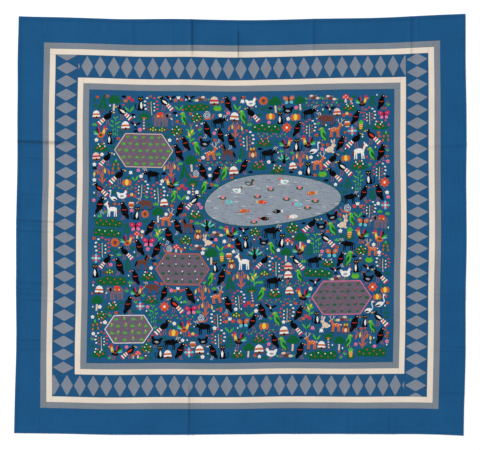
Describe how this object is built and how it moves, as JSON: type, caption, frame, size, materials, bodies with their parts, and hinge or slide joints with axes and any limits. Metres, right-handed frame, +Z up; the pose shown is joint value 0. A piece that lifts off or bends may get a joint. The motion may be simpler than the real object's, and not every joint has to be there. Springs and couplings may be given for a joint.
{
  "type": "story cloth",
  "caption": "Rectangular sewn cloth laid flat, with an embroidered field inside narrow frames, a band of lozenge patches and a wide plain border.",
  "frame": {"origin": "the middle of the cloth's outline, on the surface that it lies on", "axes": "+Z up out of the face of the cloth, +Y towards its top edge, +X towards its right edge as seen from above"},
  "size_m": [2.0356, 1.8976, 0.0047],
  "materials": {
    "border_blue": "plain woven cotton, matt",
    "frame_grey": "plain woven cotton, matt",
    "frame_cream": "plain woven cotton, matt",
    "band_blue": "plain woven cotton, matt",
    "field_blue": "plain woven cotton, matt, puckered by the stitches",
    "lozenge_grey": "plain woven cotton with turned edges, matt",
    "sewing_thread": "fine cotton sewing thread",
    "embroidery_thread": "stranded floss in many colours, with a soft sheen"
  },
  "bodies": {
    "root": {"field_panel": "field_blue", "inner_grey_top": "frame_grey", "inner_grey_right": "frame_grey", "inner_grey_bottom": "frame_grey", "inner_grey_left": "frame_grey", "inner_cream_top": "frame_cream", "inner_cream_right": "frame_cream", "inner_cream_bottom": "frame_cream", "inner_cream_left": "frame_cream", "lozenge_band_top": "band_blue", "lozenge_band_right": "band_blue", "lozenge_band_bottom": "band_blue", "lozenge_band_left": "band_blue", "outer_cream_top": "frame_cream", "outer_cream_right": "frame_cream", "outer_cream_bottom": "frame_cream", "outer_cream_left": "frame_cream", "outer_grey_top": "frame_grey", "outer_grey_right": "frame_grey", "outer_grey_bottom": "frame_grey", "outer_grey_left": "frame_grey", "border_top": "border_blue", "border_right": "border_blue", "border_bottom": "border_blue", "border_left": "border_blue"}
  },
  "joints": []
}
